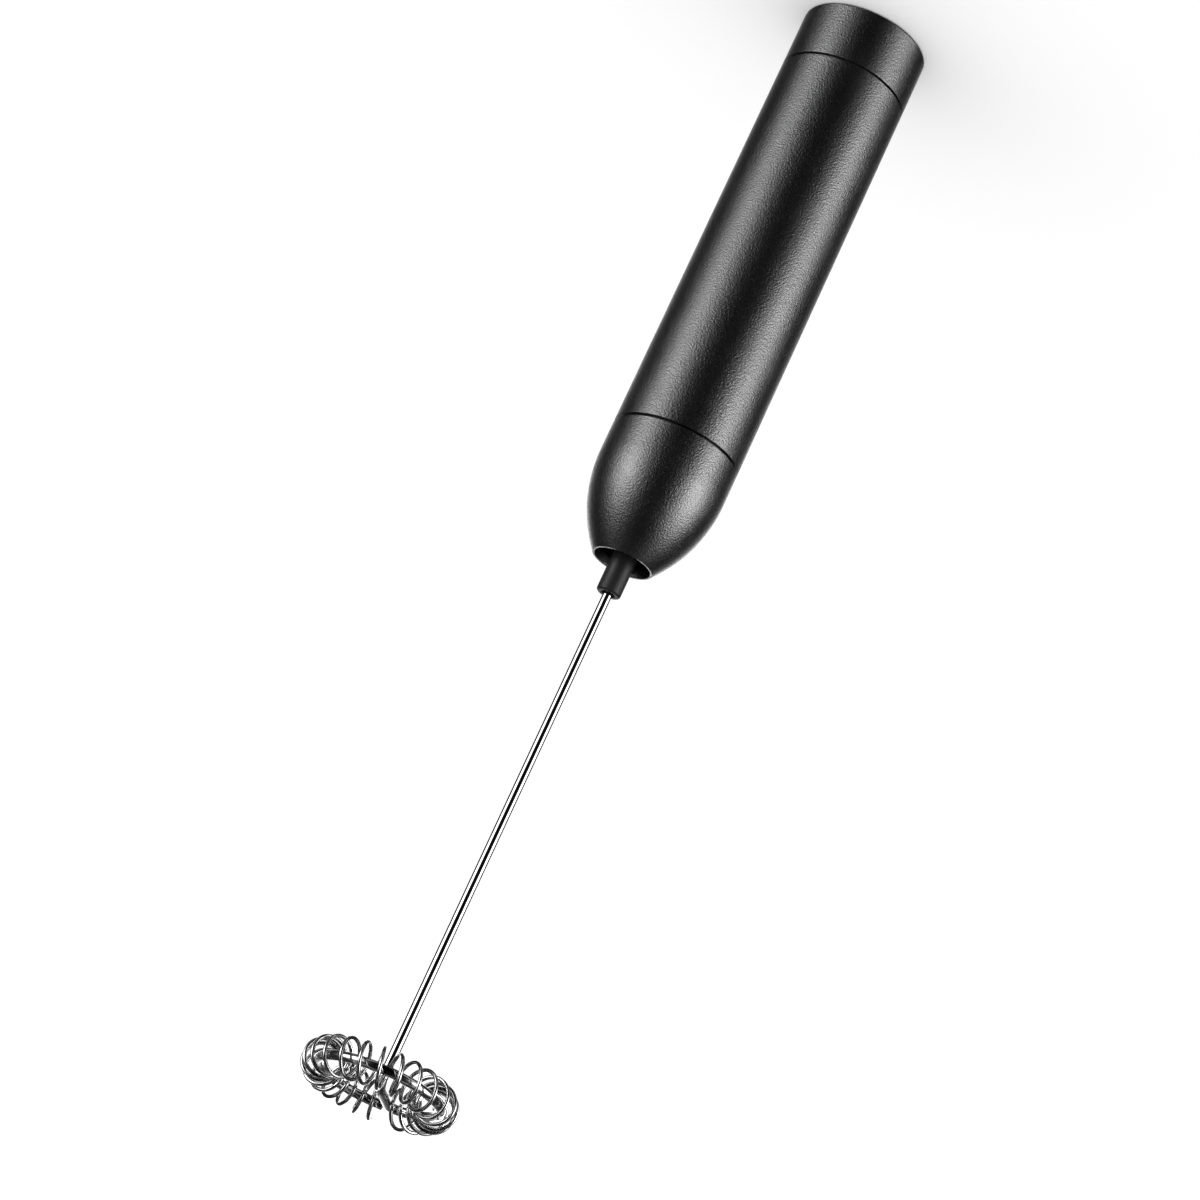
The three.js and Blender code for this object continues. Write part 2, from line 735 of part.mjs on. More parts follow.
function addMotorScrew(side, number) {
  const bevel = [0.4, 0.3];
  const slotHalf = 0.25;
  const driverSlot = 0.6;
  const top = screwHeadZ + headHeight;
  const screw = turned([
    [0, motorFrontZ - screwBite],
    [screwRadius, motorFrontZ - screwBite],
    [screwRadius, screwHeadZ],
    [screwHead, screwHeadZ],
    [screwHead, top - bevel[1]],
    [screwHead - bevel[0], top],
    [0, top],
  ], smallSides);
  const across = screwHead + through;
  const slot = boxAt(-across, across, -slotHalf, slotHalf, top - driverSlot, top + through);
  place(`motor_screw_${number}`, cut(screw, slot), stainless, side * screwOffset);
}

// The points of one of the nose's two arcs, closer together where it is nearly straight.
function noseArcPoints(radius, from, to) {
  const steps = 5;
  const points = [];
  for (let i = 0; i <= steps; i++) {
    const r = from + (to - from) * (i / steps) ** 2;
    points.push([r, arcZ + arcRise(radius, r)]);
  }
  return points;
}

// The bell-shaped nose: a straight stretch, one arc in to the mouth, and a spigot that fills the barrel.
function addNoseCone() {
  const straight = handleRadius - noseWall;
  const seatRadius = noseBore - 1.4;
  const outside = noseArcPoints(noseArc, handleRadius, mouthRadius + mouthLip);
  const inside = noseArcPoints(noseArc - noseWall, straight, mouthRadius).reverse();
  const c = shellChamfer;
  const nose = turned([
    [noseBore, noseZ - spigotLength],
    [spigotOuter, noseZ - spigotLength],
    [spigotOuter, noseZ],
    [handleRadius - c, noseZ],
    [handleRadius, noseZ + c],
    ...outside,
    [mouthRadius, mouthZ],
    ...inside.map(([r, z]) => [r, Math.min(z, mouthZ - mouthLip)]),
    [straight, screwHeadZ + noseSeatStep],
    [seatRadius, screwHeadZ + noseSeatStep],
    [seatRadius, screwHeadZ],
    [noseBore, screwHeadZ],
  ]);
  place("nose_cone", nose, anodised);
}

// ---- Coupling sleeve and whisk ----
function addCouplingSleeve() {
  const shaftBore = shaftRadius + fit;
  const shaftTopZ = motorFrontZ + shaftReach + touch;
  const socketZ = rodTailZ - touch;
  const sleeve = turned([
    [0, shaftTopZ],
    [shaftBore, shaftTopZ],
    [shaftBore, sleeveZ],
    [sleeveRadius, sleeveZ],
    [sleeveRadius, sleeveTipZ - sleeveBevel],
    [sleeveRadius - sleeveBevel, sleeveTipZ],
    [rodSocketRadius + sleeveBevel, sleeveTipZ],
    [rodSocketRadius, sleeveTipZ - sleeveBevel],
    [rodSocketRadius, socketZ],
    [0, socketZ],
  ], smallSides);
  place("coupling_sleeve", sleeve, blackPlastic);
}

const centre = vec(0, 0, ringZ);
const filletAngle = Math.asin(ringBend / (ringRadius - ringBend));
const leanAxis = vec(Math.cos(degrees(tiltAxis)), Math.sin(degrees(tiltAxis)), 0);
const lean = (point) => point.applyAxisAngle(leanAxis, degrees(ringTilt));
// A point of the leaning ring: its distance out, its angle round and its height off the ring's plane.
const ringPoint = (r, angle, height = 0) =>
  lean(vec(r * Math.cos(degrees(angle)), r * Math.sin(degrees(angle)), height)).add(centre);

// The curve that takes the wire from the spoke round into the ring.
function spokeFillet(outward, onward) {
  const steps = 6;
  const out = Math.sqrt((ringRadius - ringBend) ** 2 - ringBend ** 2);
  const middle = centre.clone().addScaledVector(outward, out).addScaledVector(onward, ringBend);
  const points = [];
  for (let i = 0; i <= steps; i++) {
    const a = ((Math.PI / 2 + filletAngle) * i) / steps;
    const point = middle.clone().addScaledVector(onward, -ringBend * Math.cos(a));
    points.push(point.addScaledVector(outward, ringBend * Math.sin(a)));
  }
  return points;
}

function addWhiskRod() {
  const outward = ringPoint(1, spokeAngle).sub(centre);
  const onward = ringPoint(1, spokeAngle + 90).sub(centre);
  const tail = vec(0, 0, rodTailZ);
  const rodBendSteps = 7;
  const ringSteps = 44;
  const start = spokeAngle + (filletAngle * 180) / Math.PI;
  const sweep = spokeAngle + 360 - ringGap - start;
  const points = [tail, ...bend(centre, vec(0, 0, 1), outward, rodBend, rodBendSteps)];
  points.push(...spokeFillet(outward, onward));
  for (let i = 1; i <= ringSteps; i++) points.push(ringPoint(ringRadius, start + (sweep * i) / ringSteps));
  place("whisk_rod", wire(points, rodRadius, rodSides), stainless);
}

// The thin wire wound loosely round the ring, which hangs a little in and down from the ring's own line.
function addWhiskCoil() {
  const perTurn = 9;
  const middle = ringRadius - coilInset;
  const clear = rodRadius + coilWire + coilSpokeRoom;
  const firstInner = (Math.asin(clear / (middle - coilRadius)) * 180) / Math.PI;
  const start = spokeAngle + firstInner - (coilStep * (coilPhase - 180)) / 360;
  const points = [];
  for (let i = 0; i <= coilTurns * perTurn; i++) {
    const turn = i / perTurn;
    const a = degrees(coilPhase - 360 * turn);
    const angle = start + coilStep * turn;
    points.push(ringPoint(middle + coilRadius * Math.cos(a), angle, coilRadius * Math.sin(a) - coilDrop));
  }
  place("whisk_coil", wire(points, coilWire, wireSides), stainless);
}

addEndCap();
addButton();
addButtonSpring();
addSwitch();
addBarrel();
addBatteryTray();
addCells();
addBoard();
addLead("lead_red", 1, redLead);
addLead("lead_black", -1, blackLead);
addMotor();
addMotorHolder();
addMotorScrew(1, 1);
addMotorScrew(-1, 2);
addNoseCone();
addCouplingSleeve();
addWhiskRod();
addWhiskCoil();

export default frother;
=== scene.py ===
"""Looks of the handheld milk frother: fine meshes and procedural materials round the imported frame."""
import json
import math

import bpy
from mathutils import Matrix, Vector


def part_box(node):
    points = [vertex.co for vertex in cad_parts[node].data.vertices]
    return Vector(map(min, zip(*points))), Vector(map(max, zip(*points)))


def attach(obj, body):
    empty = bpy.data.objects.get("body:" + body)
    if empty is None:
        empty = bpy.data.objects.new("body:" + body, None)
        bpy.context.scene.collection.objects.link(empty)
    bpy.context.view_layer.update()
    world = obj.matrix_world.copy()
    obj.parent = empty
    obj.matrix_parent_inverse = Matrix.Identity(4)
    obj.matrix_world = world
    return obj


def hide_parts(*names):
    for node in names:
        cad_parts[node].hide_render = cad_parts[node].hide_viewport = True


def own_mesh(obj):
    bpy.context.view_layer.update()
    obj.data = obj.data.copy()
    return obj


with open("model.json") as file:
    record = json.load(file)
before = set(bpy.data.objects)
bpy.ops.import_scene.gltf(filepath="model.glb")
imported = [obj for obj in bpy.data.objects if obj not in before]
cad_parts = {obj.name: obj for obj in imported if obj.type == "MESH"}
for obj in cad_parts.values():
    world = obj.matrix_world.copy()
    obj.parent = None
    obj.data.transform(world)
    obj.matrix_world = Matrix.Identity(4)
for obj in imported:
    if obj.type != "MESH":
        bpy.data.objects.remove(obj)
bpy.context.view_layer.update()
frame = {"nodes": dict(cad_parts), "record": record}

MM = 0.001
SIDES = 144
FILLET_STEPS = 4
DOME_STEPS = 5
NEAR = 1e-6
SHARP_ANGLE = math.radians(32)


# ---- Sizes read from the frame ----
def low(node):
    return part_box(node)[0]


def high(node):
    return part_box(node)[1]


HANDLE_RADIUS = high("barrel")[0]
BORE_RADIUS = high("threaded_collar")[0] + 0.1 * MM
RIM_FILLET = 0.3 * MM
ROD_REACH = 107.5 * MM
RING_CENTRE = Vector((0, 0, high("coupling_sleeve")[2] + ROD_REACH))

# ---- Whisk ----
WIRE_RADIUS = 1 * MM
RING_RADIUS = 12.45 * MM
RING_TILT = math.radians(4.1)
TILT_AXIS = Vector((math.cos(math.radians(-14)), math.sin(math.radians(-14)), 0))
RING_GAP = math.radians(6)
SPOKE_ANGLE = math.radians(106)
ROD_BEND = 2.6 * MM
RING_BEND = 2 * MM
COIL_RADIUS = 3.78 * MM
COIL_WIRE = 0.39 * MM
COIL_INSET = 0.75 * MM
COIL_DROP = 0.2 * MM
COIL_STEP = math.radians(15.09)
COIL_TURNS = 22.5
COIL_PHASE = math.radians(238)
COIL_START = math.radians(114.8)

# ---- Screw thread ----
THREAD_PITCH = 2.5 * MM
THREAD_TURNS = 1.5
RIDGE_HALF = 0.42 * MM


# ---- Mesh helpers ----
def new_object(name, vertices, faces):
    mesh = bpy.data.meshes.new(name)
    mesh.from_pydata([tuple(v) for v in vertices], [], faces)
    mesh.validate()
    mesh.shade_smooth()
    mesh.set_sharp_from_angle(angle=SHARP_ANGLE)
    piece = bpy.data.objects.new(name, mesh)
    bpy.context.scene.collection.objects.link(piece)
    return piece


def weighted(piece):
    modifier = piece.modifiers.new("weighted", "WEIGHTED_NORMAL")
    modifier.keep_sharp = True
    modifier.weight = 80
    return piece


def rounded(corners):
    """Replaces each (r, z, fillet) corner of a closed outline by an arc of that radius."""
    points = []
    count = len(corners)
    for i, (r, z, fillet) in enumerate(corners):
        here = Vector((r, z))
        if not fillet:
            points.append(here)
            continue
        before = Vector(corners[i - 1][:2]) - here
        after = Vector(corners[(i + 1) % count][:2]) - here
        half = before.angle(after) / 2
        reach = min(fillet / math.tan(half), before.length * 0.49, after.length * 0.49)
        radius = reach * math.tan(half)
        centre = here + (before.normalized() + after.normalized()).normalized() * radius / math.sin(half)
        start = here + before.normalized() * reach - centre
        turn = start.angle_signed(here + after.normalized() * reach - centre)
        for step in range(FILLET_STEPS + 1):
            points.append(centre + Matrix.Rotation(-turn * step / FILLET_STEPS, 2) @ start)
    return points


def turned(name, corners, sides=SIDES, shape=None, on_axis=False):
    """A body of revolution from (r, z) or (r, z, fillet) corners, listed with the solid on the left."""
    outline = rounded([(*c, 0)[:3] for c in corners])
    vertices = []
    rings = []
    for r, z in outline:
        if on_axis and r < 1e-7:
            rings.append([len(vertices)] * sides)
            vertices.append((0, 0, z))
            continue
        rings.append(list(range(len(vertices), len(vertices) + sides)))
        for i in range(sides):
            a = 2 * math.pi * i / sides
            reach = shape(r, z, a) if shape else r
            vertices.append((reach * math.cos(a), reach * math.sin(a), z))
    faces = []
    last = len(rings) - 1 if on_axis else len(rings)
    for j in range(last):
        one, two = rings[j], rings[(j + 1) % len(rings)]
        for i in range(sides):
            k = (i + 1) % sides
            face = list(dict.fromkeys([one[i], one[k], two[k], two[i]]))
            if len(face) > 2:
                faces.append(face)
    return weighted(new_object(name, vertices, faces))


def tube(name, points, radius, sides=20, tip=0.25):
    """A round wire through the points, with domed ends."""
    tangents = []
    for i in range(len(points)):
        tangents.append((points[min(i + 1, len(points) - 1)] - points[max(i - 1, 0)]).normalized())
    normal = tangents[0].orthogonal().normalized()
    vertices = []
    rings = []

    def ring(centre, tangent, size):
        across = tangent.cross(normal)
        rings.append(len(vertices))
        for i in range(sides):
            a = 2 * math.pi * i / sides
            vertices.append(centre + (normal * math.cos(a) + across * math.sin(a)) * size)

    for i, (point, tangent) in enumerate(zip(points, tangents)):
        normal = (normal - tangent * normal.dot(tangent)).normalized()
        if i == 0:
            for step in range(1, DOME_STEPS):
                a = math.pi / 2 * step / DOME_STEPS
                ring(point - tangent * radius * tip * math.cos(a), tangent, radius * math.sin(a))
        ring(point, tangent, radius)
        if i == len(points) - 1:
            for step in range(DOME_STEPS - 1, 0, -1):
                a = math.pi / 2 * step / DOME_STEPS
                ring(point + tangent * radius * tip * math.cos(a), tangent, radius * math.sin(a))
    faces = []
    for one, two in zip(rings, rings[1:]):
        for i in range(sides):
            k = (i + 1) % sides
            faces.append([one + i, one + k, two + k, two + i])
    faces.append([rings[0] + i for i in reversed(range(sides))])
    faces.append([rings[-1] + i for i in range(sides)])
    return new_object(name, vertices, faces)


def arc(centre, along, toward, radius, angle, steps):
    """Points of an arc that sets off along one direction and curves toward another."""
    return [
        centre - toward * radius * math.cos(angle * i / steps) + along * radius * math.sin(angle * i / steps)
        for i in range(steps + 1)
    ]


# ---- Materials ----
def shader_nodes(name):
    material = bpy.data.materials.new(name)
    material.use_nodes = True
    tree = material.node_tree
    return material, tree, tree.nodes["Principled BSDF"]


def noise(tree, scale, detail=4.0, stretch=(1, 1, 1)):
    """Noise in the piece's own space; scale is its features per metre."""
    coordinates = tree.nodes.new("ShaderNodeTexCoord")
    mapping = tree.nodes.new("ShaderNodeMapping")
    mapping.inputs["Scale"].default_value = stretch
    texture = tree.nodes.new("ShaderNodeTexNoise")
    texture.inputs["Scale"].default_value = scale
    texture.inputs["Detail"].default_value = detail
    tree.links.new(coordinates.outputs["Object"], mapping.inputs["Vector"])
    tree.links.new(mapping.outputs["Vector"], texture.inputs["Vector"])
    return texture.outputs["Fac"]


def spread(tree, value, low_value, high_value):
    """Maps the middle of a noise onto a range."""
    node = tree.nodes.new("ShaderNodeMapRange")
    node.inputs["From Min"].default_value = 0.3
    node.inputs["From Max"].default_value = 0.7
    node.inputs["To Min"].default_value = low_value
    node.inputs["To Max"].default_value = high_value
    tree.links.new(value, node.inputs["Value"])
    return node.outputs["Result"]


def mottle(tree, shader, value, dark, light):
    mix = tree.nodes.new("ShaderNodeMix")
    mix.data_type = "RGBA"
    mix.inputs["A"].default_value = (*dark, 1)
    mix.inputs["B"].default_value = (*light, 1)
    tree.links.new(spread(tree, value, 0, 1), mix.inputs["Factor"])
    tree.links.new(mix.outputs["Result"], shader.inputs["Base Color"])


def bump(tree, shader, value, strength, depth):
    node = tree.nodes.new("ShaderNodeBump")
    node.inputs["Strength"].default_value = strength
    node.inputs["Distance"].default_value = depth
    tree.links.new(value, node.inputs["Height"])
    tree.links.new(node.outputs["Normal"], shader.inputs["Normal"])


def grained(name, dark, light, roughness, metallic=0.0, specular=0.5, grain=4000, depth=0.01 * MM,
            strength=0.25, cloud=120, streaks=(1, 1, 1)):
    """A finish with fine grain in its relief, slow clouds in its gloss and mottling in its colour."""
    material, tree, shader = shader_nodes(name)
    shader.inputs["Metallic"].default_value = metallic
    shader.inputs["Specular IOR Level"].default_value = specular
    fine = noise(tree, grain, 3.0, streaks)
    slow = noise(tree, cloud, 3.0)
    mottle(tree, shader, fine, dark, light)
    tree.links.new(spread(tree, slow, roughness[0], roughness[1]), shader.inputs["Roughness"])
    bump(tree, shader, fine, strength, depth)
    return material


def grey(value):
    return (value, value, value)


def make_materials():
    along = (1, 1, 0.04)
    return {
        "anodised_black": grained("anodised_black", grey(0.0020), grey(0.0050), (0.28, 0.34), specular=1.0,
                                  grain=3000, strength=1.0, depth=0.1 * MM),
        "black_plastic": grained("black_plastic", grey(0.008), grey(0.014), (0.42, 0.52), specular=0.25,
                                 grain=5200),
        "grey_plastic": grained("grey_plastic", grey(0.13), grey(0.16), (0.45, 0.55)),
        "white_plastic": grained("white_plastic", (0.66, 0.65, 0.6), (0.74, 0.73, 0.69), (0.4, 0.5)),
        "seal_rubber": grained("seal_rubber", grey(0.006), grey(0.012), (0.65, 0.8), specular=0.3),
        "polished_steel": grained("polished_steel", grey(0.42), grey(0.50), (0.08, 0.15), metallic=1.0,
                                  grain=9000, strength=0.12, depth=0.004 * MM, streaks=along),
        # Darker copy of polished steel for the whisk coil: its darker colour is painted shade.
        "shaded_whisk_steel": grained("shaded_whisk_steel", grey(0.34), grey(0.42), (0.03, 0.07), metallic=1.0,
                               grain=9000, strength=0.1, depth=0.004 * MM),
        "plated_steel": grained("plated_steel", (0.44, 0.45, 0.46), (0.56, 0.57, 0.58), (0.28, 0.42),
                                metallic=1.0, grain=1500, strength=0.2),
        "ferrite": grained("ferrite", grey(0.02), grey(0.045), (0.7, 0.85), grain=6000, strength=0.5),
        "core_steel": grained("core_steel", grey(0.2), grey(0.34), (0.35, 0.5), metallic=1.0, grain=2000,
                              streaks=(0.05, 0.05, 1), strength=0.6),
        "copper": grained("copper", (0.42, 0.13, 0.045), (0.62, 0.24, 0.09), (0.25, 0.38), metallic=1.0,
                          grain=2600, streaks=(0.1, 0.1, 1), strength=0.5),
        "brass": grained("brass", (0.52, 0.35, 0.11), (0.64, 0.46, 0.17), (0.2, 0.34), metallic=1.0,
                         grain=2400),
        "cell_jacket": grained("cell_jacket", (0.03, 0.12, 0.045), (0.04, 0.15, 0.06), (0.25, 0.34),
                               grain=900),
        "board_green": grained("board_green", (0.01, 0.08, 0.025), (0.02, 0.12, 0.04), (0.3, 0.42),
                               grain=1800),
        "red_lead": grained("red_lead", (0.4, 0.012, 0.01), (0.5, 0.02, 0.015), (0.4, 0.5)),
        "black_lead": grained("black_lead", grey(0.006), grey(0.012), (0.4, 0.5)),
    }


materials = make_materials()


def finish_piece(piece, material, body, slot, *nodes):
    """Gives a new piece its material and body and hides the CAD nodes that it stands for; the slot argument
    is not used.
    """
    piece.data.materials.append(materials[material])
    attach(piece, body)
    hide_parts(*nodes)


def dress_frame():
    """Gives every CAD node that stays the material of its slot."""
    slots = {entry["node"]: entry["material_slot"] for entry in frame["record"]["subparts"]}
    for node, piece in frame["nodes"].items():
        material = materials[slots[node]]
        if not piece.material_slots:
            piece.data.materials.append(material)
        for holder in piece.material_slots:
            holder.material = material


# ---- Handle ----
def build_barrel():
    z0, z1 = low("barrel")[2], high("barrel")[2]
    barrel = turned("barrel_shell", [
        (BORE_RADIUS, z0, 0.1 * MM),
        (HANDLE_RADIUS, z0, RIM_FILLET),
        (HANDLE_RADIUS, z1, RIM_FILLET),
        (BORE_RADIUS, z1, 0.1 * MM),
    ])
    finish_piece(barrel, "anodised_black", "handle", "anodised_black", "barrel")


def screw_ridge(height, base_z):
    """How far the ridge of the thread stands out at a height and an angle."""
    def rise(z, a):
        turns = (z - base_z) / THREAD_PITCH - a / (2 * math.pi)
        nearest = round(turns)
        if not 0 <= nearest + a / (2 * math.pi) <= THREAD_TURNS:
            return 0.0
        away = abs(turns - nearest) * THREAD_PITCH
        flank = RIDGE_HALF / 2
        return height * min(max((RIDGE_HALF - away) / flank, 0), 1)
    return rise


def rows(r, z0, z1, count):
    return [(r, z0 + (z1 - z0) * i / count) for i in range(count + 1)]


COLLAR_INNER = high("switch_housing")[0] + 0.3 * MM
COLLAR_ROOT = COLLAR_INNER + 0.6 * MM
RIDGE_HEIGHT = 0.45 * MM
MALE_RIDGE = low("threaded_collar")[2] + 1.1 * MM
FEMALE_RIDGE = MALE_RIDGE + THREAD_PITCH / 2
RIDGE_ROWS = 64


def build_collar():
    z0, z1 = low("threaded_collar")[2], high("threaded_collar")[2]
    shoulder = low("barrel")[2] + 0.1 * MM
    ridge = screw_ridge(RIDGE_HEIGHT, MALE_RIDGE)
    outer = BORE_RADIUS - 0.1 * MM

    def shape(r, z, a):
        return r + ridge(z, a) if abs(r - COLLAR_ROOT) < NEAR and z < shoulder - 1e-5 else r

    collar = turned("collar_threaded", [
        (COLLAR_INNER, z0, 0.1 * MM),
        *rows(COLLAR_ROOT, z0 + 0.2 * MM, shoulder - 0.6 * MM, RIDGE_ROWS),
        (COLLAR_ROOT, shoulder),
        (outer, shoulder, 0.1 * MM),
        (outer, z1, 0.15 * MM),
        (COLLAR_INNER, z1, 0.15 * MM),
    ], shape=shape)
    finish_piece(collar, "plated_steel", "handle", "plated_steel", "threaded_collar")


BUTTON_LEDGE = 1.4 * MM
BUTTON_PLAY = 0.2 * MM


def build_end_cap():
    z1 = high("end_cap")[2]
    button_hole = high("button")[0] - BUTTON_LEDGE + BUTTON_PLAY
    floor_z = 2 * MM
    rebate_r = high("cap_seal")[0] + 0.1 * MM
    rebate_z = low("cap_seal")[2] - 0.1 * MM
    ridge = screw_ridge(RIDGE_HEIGHT, FEMALE_RIDGE)

    def shape(r, z, a):
        return r - ridge(z, a) if abs(r - BORE_RADIUS) < NEAR else r

    cap = turned("cap_shell", [
        (button_hole, 0, 0.25 * MM),
        (HANDLE_RADIUS, 0, 0.45 * MM),
        (HANDLE_RADIUS, z1, RIM_FILLET),
        (rebate_r, z1, 0.05 * MM),
        (rebate_r, rebate_z),
        *rows(BORE_RADIUS, rebate_z, floor_z, RIDGE_ROWS),
        (button_hole, floor_z, 0.1 * MM),
    ], shape=shape)
    finish_piece(cap, "anodised_black", "end_cap", "anodised_black", "end_cap")


def build_seal():
    z0, z1 = low("cap_seal")[2], high("cap_seal")[2]
    outer = high("cap_seal")[0]
    inner = outer - 0.5 * MM
    seal = turned("seal_ring", [(inner, z0, 0.12 * MM), (outer, z0, 0.12 * MM), (outer, z1, 0.2 * MM),
                                (inner, z1, 0.2 * MM)])
    finish_piece(seal, "seal_rubber", "cap_gasket", "seal_rubber", "cap_seal")


DISH_DEPTH = 0.28 * MM
DISH_EDGE = 1.6 * MM
DISH_REACH = 5 * MM
DISH_STEPS = 8
FLANGE_HEIGHT = 2.1 * MM
FLANGE_THICKNESS = 1.2 * MM
STEM_RADIUS = 3 * MM
TIP_RADIUS = 1.8 * MM


def dish_point(edge, z, step):
    rise = DISH_DEPTH * math.sin(math.pi / 2 * step / DISH_STEPS)
    return (edge - DISH_EDGE - DISH_REACH * step / DISH_STEPS, z + rise)


def build_button():
    z0, z1 = low("button")[2], high("button")[2]
    flange = high("button")[0]
    face = flange - BUTTON_LEDGE
    flange_top = FLANGE_HEIGHT + FLANGE_THICKNESS
    shoulder = low("contact_disc")[2] - 0.1 * MM
    dish = [dish_point(face, z0, step) for step in range(DISH_STEPS + 1)]
    button = turned("button_body", [
        (0, z0 + DISH_DEPTH),
        *reversed(dish),
        (face, z0, 0.5 * MM),
        (face, FLANGE_HEIGHT),
        (flange, FLANGE_HEIGHT, 0.15 * MM),
        (flange, flange_top, 0.15 * MM),
        (STEM_RADIUS, flange_top, 0.2 * MM),
        (STEM_RADIUS, shoulder, 0.1 * MM),
        (TIP_RADIUS, shoulder),
        (TIP_RADIUS, z1, 0.3 * MM),
        (0, z1),
    ], sides=96, on_axis=True)
    finish_piece(button, "black_plastic", "button", "black_plastic", "button")


# ---- Return spring ----
SPRING_WIRE = 0.29 * MM
SPRING_TAPER = 0.8 * MM
SPRING_TURNS = 5


def build_button_spring():
    """A finer spring that the pressed button closes up towards the housing's roof; built here at rest,
    narrowing as it rises.
    """
    z0, z1 = low("button_spring")[2], high("button_spring")[2]
    wide = high("button_spring")[0] - SPRING_WIRE - 0.01 * MM
    per_turn = 40
    count = SPRING_TURNS * per_turn
    points = []
    for i in range(count + 1):
        share = i / count
        a = 2 * math.pi * i / per_turn
        r = wide - SPRING_TAPER * share
        z = z0 + SPRING_WIRE + (z1 - z0 - 2 * SPRING_WIRE) * share
        points.append(Vector((r * math.cos(a), r * math.sin(a), z)))
    coil = tube("return_spring", points, SPRING_WIRE, sides=12)
    finish_piece(coil, "polished_steel", "end_cap", "polished_steel", "button_spring")
    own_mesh(coil)


# ---- Nose and sleeve ----
NOSE_ARC = 31.6 * MM
NOSE_STRAIGHT = 6.5 * MM
NOSE_WALL = 1.6 * MM
MOUTH_RADIUS = 5.95 * MM
MOUTH_LIP = 0.5 * MM


def build_nose():
    z0, mouth_z = low("nose_cone")[2], high("nose_cone")[2]
    seam_z = high("barrel")[2] + 0.3 * MM
    arc_z = seam_z + NOSE_STRAIGHT
    centre = HANDLE_RADIUS - NOSE_ARC
    spigot = BORE_RADIUS - 0.1 * MM
    bore = spigot - 1.2 * MM
    seat_z = high("motor_holder")[2] + 0.1 * MM
    seat_r = bore - 1.4 * MM
    lip = MOUTH_RADIUS + MOUTH_LIP
    steps = 40
    end_angle = math.acos((lip - centre) / NOSE_ARC)
    outside = []
    for i in range(steps + 1):
        a = end_angle * i / steps
        outside.append((centre + NOSE_ARC * math.cos(a), arc_z + NOSE_ARC * math.sin(a)))
    inner_arc = NOSE_ARC - NOSE_WALL
    inner_end = math.acos((MOUTH_RADIUS - centre) / inner_arc)
    inside = []
    for i in range(steps + 1):
        a = inner_end * (1 - i / steps)
        z = min(arc_z + inner_arc * math.sin(a), mouth_z - MOUTH_LIP)
        inside.append((centre + inner_arc * math.cos(a), z))
    nose = turned("nose_shell", [
        (bore, z0, 0.1 * MM),
        (spigot, z0, 0.3 * MM),
        (spigot, seam_z),
        (HANDLE_RADIUS, seam_z, RIM_FILLET),
        *outside[:-1],
        (*outside[-1], 0.15 * MM),
        (MOUTH_RADIUS, mouth_z, 0.12 * MM),
        *inside,
        (HANDLE_RADIUS - NOSE_WALL, seat_z + 1.2 * MM),
        (seat_r, seat_z + 1.2 * MM),
        (seat_r, seat_z),
        (bore, seat_z),
    ])
    finish_piece(nose, "anodised_black", "handle", "anodised_black", "nose_cone")


def build_sleeve():
    z0, z1 = low("coupling_sleeve")[2], high("coupling_sleeve")[2]
    r = 2.55 * MM
    bevel = 0.45 * MM
    socket = WIRE_RADIUS + 0.06 * MM
    shaft_top = high("motor_shaft")[2] + 0.1 * MM
    socket_z = low("whisk_rod")[2] - 0.1 * MM
    sleeve = turned("sleeve_body", [
        (0, shaft_top),
        (socket, shaft_top),
        (socket, z0),
        (r, z0, 0.2 * MM),
        (r, z1, bevel),
        (socket + bevel, z1, 0.1 * MM),
        (socket, z1 - 0.7 * MM),
        (socket, socket_z),
        (0, socket_z),
    ], sides=64, on_axis=True)
    finish_piece(sleeve, "black_plastic", "drive", "black_plastic", "coupling_sleeve")


# ---- Whisk ----
def lean(point):
    return Matrix.Rotation(RING_TILT, 3, TILT_AXIS) @ point


def ring_point(r, angle, height=0.0):
    return RING_CENTRE + lean(Vector((r * math.cos(angle), r * math.sin(angle), height)))


def build_whisk_rod():
    up = Vector((0, 0, 1))
    outward = lean(Vector((math.cos(SPOKE_ANGLE), math.sin(SPOKE_ANGLE), 0)))
    onward = lean(Vector((-math.sin(SPOKE_ANGLE), math.cos(SPOKE_ANGLE), 0)))
    turn = up.angle(outward)
    inward = (outward - up * up.dot(outward)).normalized()
    bend_start = RING_CENTRE - up * ROD_BEND * math.tan(turn / 2)
    tail = Vector((0, 0, low("whisk_rod")[2] + 0.05 * MM))
    points = [tail.lerp(bend_start, i / 12) for i in range(12)]
    points += arc(bend_start + inward * ROD_BEND, up, inward, ROD_BEND, turn, 20)
    out = math.sqrt((RING_RADIUS - RING_BEND) ** 2 - RING_BEND ** 2)
    extra = math.asin(RING_BEND / (RING_RADIUS - RING_BEND))
    fillet = arc(RING_CENTRE + outward * out + onward * RING_BEND, outward, onward, RING_BEND,
                 math.pi / 2 + extra, 20)
    points += fillet
    start = SPOKE_ANGLE + extra
    finish = SPOKE_ANGLE + 2 * math.pi - RING_GAP
    steps = 180
    points += [ring_point(RING_RADIUS, start + (finish - start) * i / steps) for i in range(1, steps + 1)]
    rod = tube("whisk_wire", points, WIRE_RADIUS * 0.995, sides=28)
    finish_piece(rod, "polished_steel", "drive", "polished_steel", "whisk_rod")


def build_whisk_coil():
    per_turn = 56
    points = []
    for i in range(round(COIL_TURNS * per_turn) + 1):
        turn = i / per_turn
        a = COIL_PHASE - 2 * math.pi * turn
        angle = COIL_START + COIL_STEP * turn
        out = RING_RADIUS - COIL_INSET + COIL_RADIUS * math.cos(a)
        points.append(ring_point(out, angle, COIL_RADIUS * math.sin(a) - COIL_DROP))
    coil = tube("whisk_spring", points, COIL_WIRE, sides=14)
    # The coil takes the darker copy of polished steel, whose darker colour is painted shade.
    finish_piece(coil, "shaded_whisk_steel", "drive", "polished_steel", "whisk_coil")


